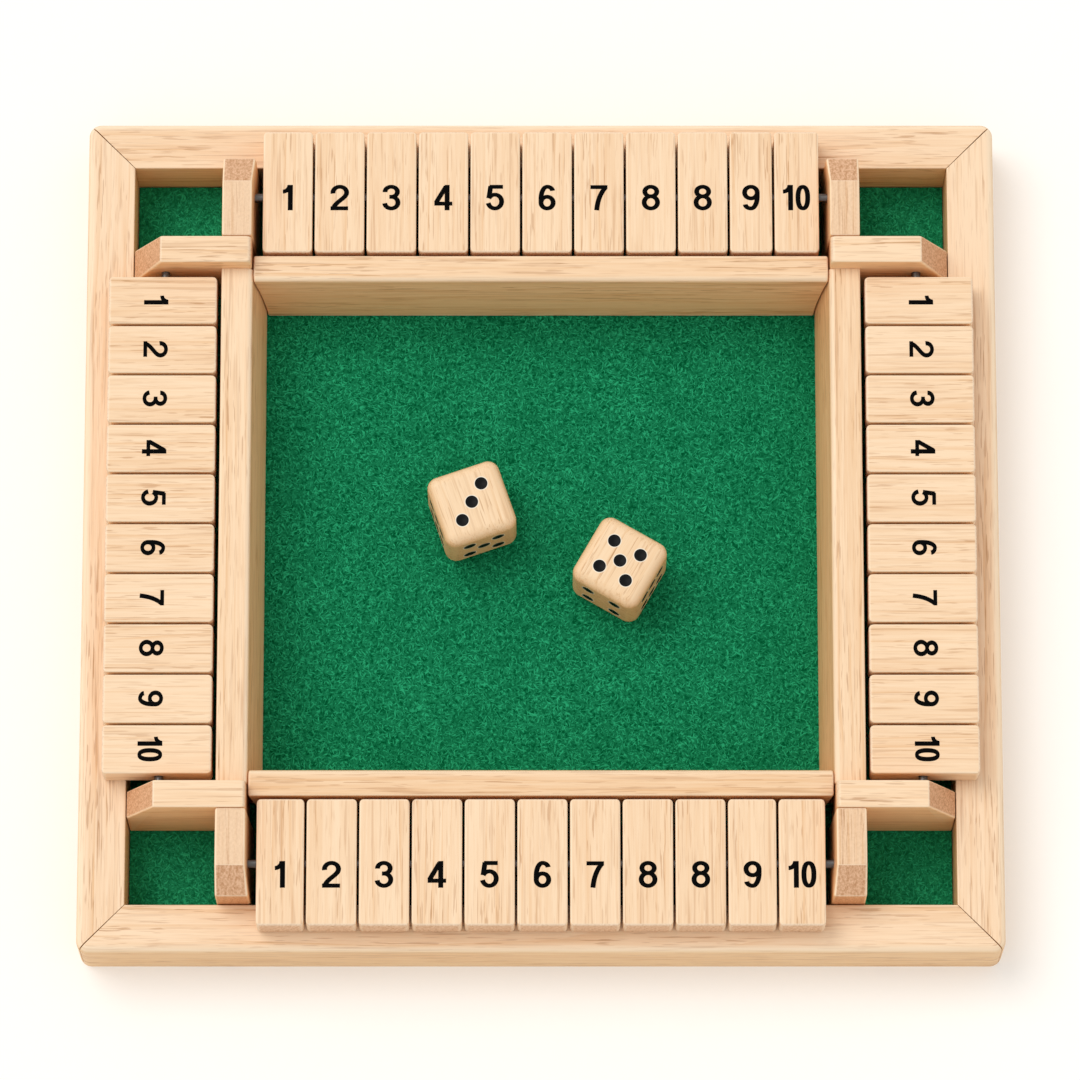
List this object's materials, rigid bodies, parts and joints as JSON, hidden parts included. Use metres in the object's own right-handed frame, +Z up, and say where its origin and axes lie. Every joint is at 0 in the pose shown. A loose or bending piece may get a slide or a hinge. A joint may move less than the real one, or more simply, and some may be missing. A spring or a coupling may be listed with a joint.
{
  "type": "shut the box game",
  "caption": "Wooden shut the box game for four players: felt-lined dice tray in a mitred frame, a row of hinged number tiles on steel rods along each side, corner pockets and wooden dice.",
  "frame": {"origin": "middle of the underside of the base board, at the level that the box stands on", "axes": "+X to the right along the box's longer side, +Y to the back row of tiles, +Z up"},
  "size_m": [0.3, 0.28, 0.042],
  "materials": {
    "frame_wood": "pale pine, clear satin varnish, fine grain along each rail",
    "rail_wood": "pale pine, clear satin varnish, end grain on the blocks' chamfers",
    "tile_wood": "pale pine, clear satin varnish, printed black numbers",
    "dice_wood": "polished pale wood, black pips",
    "plywood": "bare plywood",
    "felt": "green felt, short matted fibres",
    "rod_steel": "bright drawn steel wire"
  },
  "bodies": {
    "box": {"base_board": "plywood", "felt_sheet": "felt", "frame_rail_back": "frame_wood", "frame_rail_front": "frame_wood", "frame_rail_left": "frame_wood", "frame_rail_right": "frame_wood", "tray_rail_back": "rail_wood", "tray_rail_front": "rail_wood", "tray_rail_left": "rail_wood", "tray_rail_right": "rail_wood", "rod_back": "rod_steel", "rod_front": "rod_steel", "rod_left": "rod_steel", "rod_right": "rod_steel"},
    "back_tile_01": {"back_tile_01": "tile_wood"},
    "back_tile_02": {"back_tile_02": "tile_wood"},
    "back_tile_03": {"back_tile_03": "tile_wood"},
    "back_tile_04": {"back_tile_04": "tile_wood"},
    "back_tile_05": {"back_tile_05": "tile_wood"},
    "back_tile_06": {"back_tile_06": "tile_wood"},
    "back_tile_07": {"back_tile_07": "tile_wood"},
    "back_tile_08": {"back_tile_08": "tile_wood"},
    "back_tile_09": {"back_tile_09": "tile_wood"},
    "back_tile_10": {"back_tile_10": "tile_wood"},
    "back_tile_11": {"back_tile_11": "tile_wood"},
    "front_tile_01": {"front_tile_01": "tile_wood"},
    "front_tile_02": {"front_tile_02": "tile_wood"},
    "front_tile_03": {"front_tile_03": "tile_wood"},
    "front_tile_04": {"front_tile_04": "tile_wood"},
    "front_tile_05": {"front_tile_05": "tile_wood"},
    "front_tile_06": {"front_tile_06": "tile_wood"},
    "front_tile_07": {"front_tile_07": "tile_wood"},
    "front_tile_08": {"front_tile_08": "tile_wood"},
    "front_tile_09": {"front_tile_09": "tile_wood"},
    "front_tile_10": {"front_tile_10": "tile_wood"},
    "front_tile_11": {"front_tile_11": "tile_wood"},
    "left_tile_01": {"left_tile_01": "tile_wood"},
    "left_tile_02": {"left_tile_02": "tile_wood"},
    "left_tile_03": {"left_tile_03": "tile_wood"},
    "left_tile_04": {"left_tile_04": "tile_wood"},
    "left_tile_05": {"left_tile_05": "tile_wood"},
    "left_tile_06": {"left_tile_06": "tile_wood"},
    "left_tile_07": {"left_tile_07": "tile_wood"},
    "left_tile_08": {"left_tile_08": "tile_wood"},
    "left_tile_09": {"left_tile_09": "tile_wood"},
    "left_tile_10": {"left_tile_10": "tile_wood"},
    "right_tile_01": {"right_tile_01": "tile_wood"},
    "right_tile_02": {"right_tile_02": "tile_wood"},
    "right_tile_03": {"right_tile_03": "tile_wood"},
    "right_tile_04": {"right_tile_04": "tile_wood"},
    "right_tile_05": {"right_tile_05": "tile_wood"},
    "right_tile_06": {"right_tile_06": "tile_wood"},
    "right_tile_07": {"right_tile_07": "tile_wood"},
    "right_tile_08": {"right_tile_08": "tile_wood"},
    "right_tile_09": {"right_tile_09": "tile_wood"},
    "right_tile_10": {"right_tile_10": "tile_wood"},
    "die_1": {"die_1": "dice_wood"},
    "die_2": {"die_2": "dice_wood"}
  },
  "joints": [
    {"name": "back_tile_01_hinge", "type": "hinge", "parent": "box", "child": "back_tile_01", "pos_m": [0, 0.1123, 0.0308], "axis": [1, 0, 0], "range_deg": [0, 109]},
    {"name": "back_tile_02_hinge", "type": "hinge", "parent": "box", "child": "back_tile_02", "pos_m": [0, 0.1123, 0.0308], "axis": [1, 0, 0], "range_deg": [0, 109]},
    {"name": "back_tile_03_hinge", "type": "hinge", "parent": "box", "child": "back_tile_03", "pos_m": [0, 0.1123, 0.0308], "axis": [1, 0, 0], "range_deg": [0, 109]},
    {"name": "back_tile_04_hinge", "type": "hinge", "parent": "box", "child": "back_tile_04", "pos_m": [0, 0.1123, 0.0308], "axis": [1, 0, 0], "range_deg": [0, 109]},
    {"name": "back_tile_05_hinge", "type": "hinge", "parent": "box", "child": "back_tile_05", "pos_m": [0, 0.1123, 0.0308], "axis": [1, 0, 0], "range_deg": [0, 109]},
    {"name": "back_tile_06_hinge", "type": "hinge", "parent": "box", "child": "back_tile_06", "pos_m": [0, 0.1123, 0.0308], "axis": [1, 0, 0], "range_deg": [0, 109]},
    {"name": "back_tile_07_hinge", "type": "hinge", "parent": "box", "child": "back_tile_07", "pos_m": [0, 0.1123, 0.0308], "axis": [1, 0, 0], "range_deg": [0, 109]},
    {"name": "back_tile_08_hinge", "type": "hinge", "parent": "box", "child": "back_tile_08", "pos_m": [0, 0.1123, 0.0308], "axis": [1, 0, 0], "range_deg": [0, 109]},
    {"name": "back_tile_09_hinge", "type": "hinge", "parent": "box", "child": "back_tile_09", "pos_m": [0, 0.1123, 0.0308], "axis": [1, 0, 0], "range_deg": [0, 109]},
    {"name": "back_tile_10_hinge", "type": "hinge", "parent": "box", "child": "back_tile_10", "pos_m": [0, 0.1123, 0.0308], "axis": [1, 0, 0], "range_deg": [0, 109]},
    {"name": "back_tile_11_hinge", "type": "hinge", "parent": "box", "child": "back_tile_11", "pos_m": [0, 0.1123, 0.0308], "axis": [1, 0, 0], "range_deg": [0, 109]},
    {"name": "front_tile_01_hinge", "type": "hinge", "parent": "box", "child": "front_tile_01", "pos_m": [0, -0.1123, 0.0308], "axis": [-1, 0, 0], "range_deg": [0, 109]},
    {"name": "front_tile_02_hinge", "type": "hinge", "parent": "box", "child": "front_tile_02", "pos_m": [0, -0.1123, 0.0308], "axis": [-1, 0, 0], "range_deg": [0, 109]},
    {"name": "front_tile_03_hinge", "type": "hinge", "parent": "box", "child": "front_tile_03", "pos_m": [0, -0.1123, 0.0308], "axis": [-1, 0, 0], "range_deg": [0, 109]},
    {"name": "front_tile_04_hinge", "type": "hinge", "parent": "box", "child": "front_tile_04", "pos_m": [0, -0.1123, 0.0308], "axis": [-1, 0, 0], "range_deg": [0, 109]},
    {"name": "front_tile_05_hinge", "type": "hinge", "parent": "box", "child": "front_tile_05", "pos_m": [0, -0.1123, 0.0308], "axis": [-1, 0, 0], "range_deg": [0, 109]},
    {"name": "front_tile_06_hinge", "type": "hinge", "parent": "box", "child": "front_tile_06", "pos_m": [0, -0.1123, 0.0308], "axis": [-1, 0, 0], "range_deg": [0, 109]},
    {"name": "front_tile_07_hinge", "type": "hinge", "parent": "box", "child": "front_tile_07", "pos_m": [0, -0.1123, 0.0308], "axis": [-1, 0, 0], "range_deg": [0, 109]},
    {"name": "front_tile_08_hinge", "type": "hinge", "parent": "box", "child": "front_tile_08", "pos_m": [0, -0.1123, 0.0308], "axis": [-1, 0, 0], "range_deg": [0, 109]},
    {"name": "front_tile_09_hinge", "type": "hinge", "parent": "box", "child": "front_tile_09", "pos_m": [0, -0.1123, 0.0308], "axis": [-1, 0, 0], "range_deg": [0, 109]},
    {"name": "front_tile_10_hinge", "type": "hinge", "parent": "box", "child": "front_tile_10", "pos_m": [0, -0.1123, 0.0308], "axis": [-1, 0, 0], "range_deg": [0, 109]},
    {"name": "front_tile_11_hinge", "type": "hinge", "parent": "box", "child": "front_tile_11", "pos_m": [0, -0.1123, 0.0308], "axis": [-1, 0, 0], "range_deg": [0, 109]},
    {"name": "left_tile_01_hinge", "type": "hinge", "parent": "box", "child": "left_tile_01", "pos_m": [-0.1236, 0, 0.0308], "axis": [0, 1, 0], "range_deg": [0, 106.5]},
    {"name": "left_tile_02_hinge", "type": "hinge", "parent": "box", "child": "left_tile_02", "pos_m": [-0.1236, 0, 0.0308], "axis": [0, 1, 0], "range_deg": [0, 106.5]},
    {"name": "left_tile_03_hinge", "type": "hinge", "parent": "box", "child": "left_tile_03", "pos_m": [-0.1236, 0, 0.0308], "axis": [0, 1, 0], "range_deg": [0, 106.5]},
    {"name": "left_tile_04_hinge", "type": "hinge", "parent": "box", "child": "left_tile_04", "pos_m": [-0.1236, 0, 0.0308], "axis": [0, 1, 0], "range_deg": [0, 106.5]},
    {"name": "left_tile_05_hinge", "type": "hinge", "parent": "box", "child": "left_tile_05", "pos_m": [-0.1236, 0, 0.0308], "axis": [0, 1, 0], "range_deg": [0, 106.5]},
    {"name": "left_tile_06_hinge", "type": "hinge", "parent": "box", "child": "left_tile_06", "pos_m": [-0.1236, 0, 0.0308], "axis": [0, 1, 0], "range_deg": [0, 106.5]},
    {"name": "left_tile_07_hinge", "type": "hinge", "parent": "box", "child": "left_tile_07", "pos_m": [-0.1236, 0, 0.0308], "axis": [0, 1, 0], "range_deg": [0, 106.5]},
    {"name": "left_tile_08_hinge", "type": "hinge", "parent": "box", "child": "left_tile_08", "pos_m": [-0.1236, 0, 0.0308], "axis": [0, 1, 0], "range_deg": [0, 106.5]},
    {"name": "left_tile_09_hinge", "type": "hinge", "parent": "box", "child": "left_tile_09", "pos_m": [-0.1236, 0, 0.0308], "axis": [0, 1, 0], "range_deg": [0, 106.5]},
    {"name": "left_tile_10_hinge", "type": "hinge", "parent": "box", "child": "left_tile_10", "pos_m": [-0.1236, 0, 0.0308], "axis": [0, 1, 0], "range_deg": [0, 106.5]},
    {"name": "right_tile_01_hinge", "type": "hinge", "parent": "box", "child": "right_tile_01", "pos_m": [0.1236, 0, 0.0308], "axis": [0, -1, 0], "range_deg": [0, 106.5]},
    {"name": "right_tile_02_hinge", "type": "hinge", "parent": "box", "child": "right_tile_02", "pos_m": [0.1236, 0, 0.0308], "axis": [0, -1, 0], "range_deg": [0, 106.5]},
    {"name": "right_tile_03_hinge", "type": "hinge", "parent": "box", "child": "right_tile_03", "pos_m": [0.1236, 0, 0.0308], "axis": [0, -1, 0], "range_deg": [0, 106.5]},
    {"name": "right_tile_04_hinge", "type": "hinge", "parent": "box", "child": "right_tile_04", "pos_m": [0.1236, 0, 0.0308], "axis": [0, -1, 0], "range_deg": [0, 106.5]},
    {"name": "right_tile_05_hinge", "type": "hinge", "parent": "box", "child": "right_tile_05", "pos_m": [0.1236, 0, 0.0308], "axis": [0, -1, 0], "range_deg": [0, 106.5]},
    {"name": "right_tile_06_hinge", "type": "hinge", "parent": "box", "child": "right_tile_06", "pos_m": [0.1236, 0, 0.0308], "axis": [0, -1, 0], "range_deg": [0, 106.5]},
    {"name": "right_tile_07_hinge", "type": "hinge", "parent": "box", "child": "right_tile_07", "pos_m": [0.1236, 0, 0.0308], "axis": [0, -1, 0], "range_deg": [0, 106.5]},
    {"name": "right_tile_08_hinge", "type": "hinge", "parent": "box", "child": "right_tile_08", "pos_m": [0.1236, 0, 0.0308], "axis": [0, -1, 0], "range_deg": [0, 106.5]},
    {"name": "right_tile_09_hinge", "type": "hinge", "parent": "box", "child": "right_tile_09", "pos_m": [0.1236, 0, 0.0308], "axis": [0, -1, 0], "range_deg": [0, 106.5]},
    {"name": "right_tile_10_hinge", "type": "hinge", "parent": "box", "child": "right_tile_10", "pos_m": [0.1236, 0, 0.0308], "axis": [0, -1, 0], "range_deg": [0, 106.5]},
    {"name": "die_1_lift", "type": "slide", "parent": "box", "child": "die_1", "axis": [0, 0, 1], "range_m": [0, 0.06]},
    {"name": "die_2_lift", "type": "slide", "parent": "box", "child": "die_2", "axis": [0, 0, 1], "range_m": [0, 0.06]}
  ]
}
